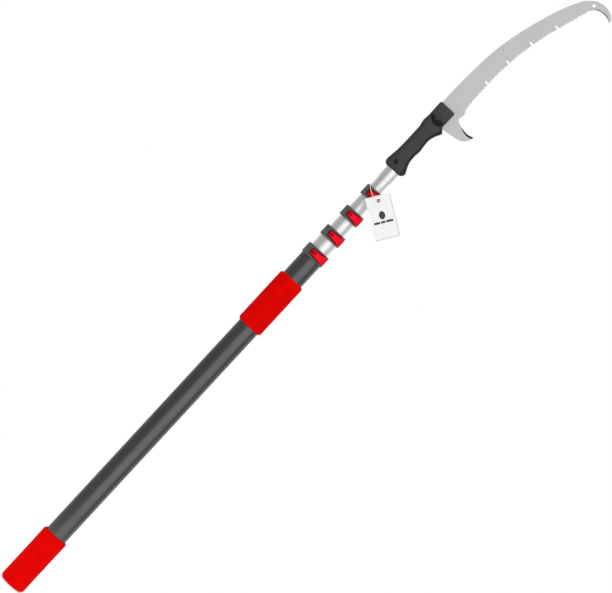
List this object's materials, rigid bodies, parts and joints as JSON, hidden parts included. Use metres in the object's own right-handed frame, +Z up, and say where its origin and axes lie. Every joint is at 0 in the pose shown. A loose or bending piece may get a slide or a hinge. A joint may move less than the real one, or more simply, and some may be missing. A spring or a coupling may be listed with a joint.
{
  "type": "telescoping pole saw",
  "caption": "Long-reach pruning saw: a nested telescoping pole with flip-lever locks and foam grips, a handle, and a curved hooked pull-stroke blade.",
  "frame": {"origin": "centre of the pole's closed bottom end face", "axes": "+Z up the pole towards the blade; the blade lies in the XZ plane with its teeth and hooks towards +X; the lock levers face -Y"},
  "size_m": [0.1324, 0.0679, 1.4888],
  "materials": {
    "anodised_tube": "satin anodised",
    "bare_tube": "satin drawn",
    "foam_grip": "closed-cell foam, matte",
    "collar_plastic": "moulded, fine texture",
    "lever_plastic": "moulded, semi-gloss",
    "inner_plastic": "moulded",
    "pad_rubber": "matte",
    "steel_pin": "bright",
    "rivet": "satin",
    "cast_spigot": "as cast",
    "handle_plastic": "moulded, fine texture",
    "black_fastener": "black oxide",
    "plated_fastener": "zinc plated",
    "blade_steel": "matte ground",
    "tag_card": "coated white card",
    "eyelet_metal": "plated",
    "string_cotton": "twisted cotton"
  },
  "bodies": {
    "main_pole": {"main_tube": "anodised_tube", "end_plug": "inner_plastic", "lower_grip": "foam_grip", "upper_grip": "foam_grip", "lock_collar_1": "collar_plastic", "lever_pin_1": "steel_pin", "brake_pad_1": "pad_rubber", "guide_ring_1": "inner_plastic", "collar_rivets_1": "rivet"},
    "section_2": {"tube_2": "bare_tube", "guide_bush_2": "inner_plastic", "lock_collar_2": "collar_plastic", "lever_pin_2": "steel_pin", "brake_pad_2": "pad_rubber", "guide_ring_2": "inner_plastic", "collar_rivets_2": "rivet"},
    "section_3": {"tube_3": "bare_tube", "guide_bush_3": "inner_plastic", "lock_collar_3": "collar_plastic", "lever_pin_3": "steel_pin", "brake_pad_3": "pad_rubber", "guide_ring_3": "inner_plastic", "collar_rivets_3": "rivet"},
    "section_4": {"tube_4": "bare_tube", "guide_bush_4": "inner_plastic", "lock_collar_4": "collar_plastic", "lever_pin_4": "steel_pin", "brake_pad_4": "pad_rubber", "guide_ring_4": "inner_plastic", "collar_rivets_4": "rivet", "tag_string": "string_cotton"},
    "section_5": {"tube_5": "bare_tube", "guide_bush_5": "inner_plastic", "tube_sleeve": "bare_tube", "mount_spigot": "cast_spigot", "handle_front": "handle_plastic", "handle_back": "handle_plastic", "handle_screw": "black_fastener", "handle_nut": "plated_fastener", "blade": "blade_steel", "blade_bolt": "black_fastener", "blade_nut": "plated_fastener", "tang_bolt": "plated_fastener"},
    "lever_1": {"lock_lever_1": "lever_plastic"},
    "lever_2": {"lock_lever_2": "lever_plastic"},
    "lever_3": {"lock_lever_3": "lever_plastic"},
    "lever_4": {"lock_lever_4": "lever_plastic"},
    "tag": {"hang_tag": "tag_card", "tag_eyelet": "eyelet_metal"}
  },
  "joints": [
    {"name": "extend_2", "type": "slide", "parent": "main_pole", "child": "section_2", "axis": [0, 0, 1], "range_m": [0, 0.62]},
    {"name": "extend_3", "type": "slide", "parent": "section_2", "child": "section_3", "axis": [0, 0, 1], "range_m": [0, 0.66]},
    {"name": "extend_4", "type": "slide", "parent": "section_3", "child": "section_4", "axis": [0, 0, 1], "range_m": [0, 0.71]},
    {"name": "extend_5", "type": "slide", "parent": "section_4", "child": "section_5", "axis": [0, 0, 1], "range_m": [0, 0.755]},
    {"name": "lever_1_open", "type": "hinge", "parent": "main_pole", "child": "lever_1", "pos_m": [0.02, -0.01533, 0.8068], "axis": [0, 0, 1], "range_deg": [0, 115]},
    {"name": "lever_2_open", "type": "hinge", "parent": "section_2", "child": "lever_2", "pos_m": [0.0192, -0.01011, 0.8526], "axis": [0, 0, 1], "range_deg": [0, 115]},
    {"name": "lever_3_open", "type": "hinge", "parent": "section_3", "child": "lever_3", "pos_m": [0.0186, -0.00975, 0.9018], "axis": [0, 0, 1], "range_deg": [0, 115]},
    {"name": "lever_4_open", "type": "hinge", "parent": "section_4", "child": "lever_4", "pos_m": [0.0162, -0.00851, 0.9544], "axis": [0, 0, 1], "range_deg": [0, 115]},
    {"name": "tag_swing", "type": "hinge", "parent": "section_4", "child": "tag", "pos_m": [0.018, -0.03975, 0.9531], "axis": [0, 1, 0], "range_deg": [-45, 80]}
  ]
}
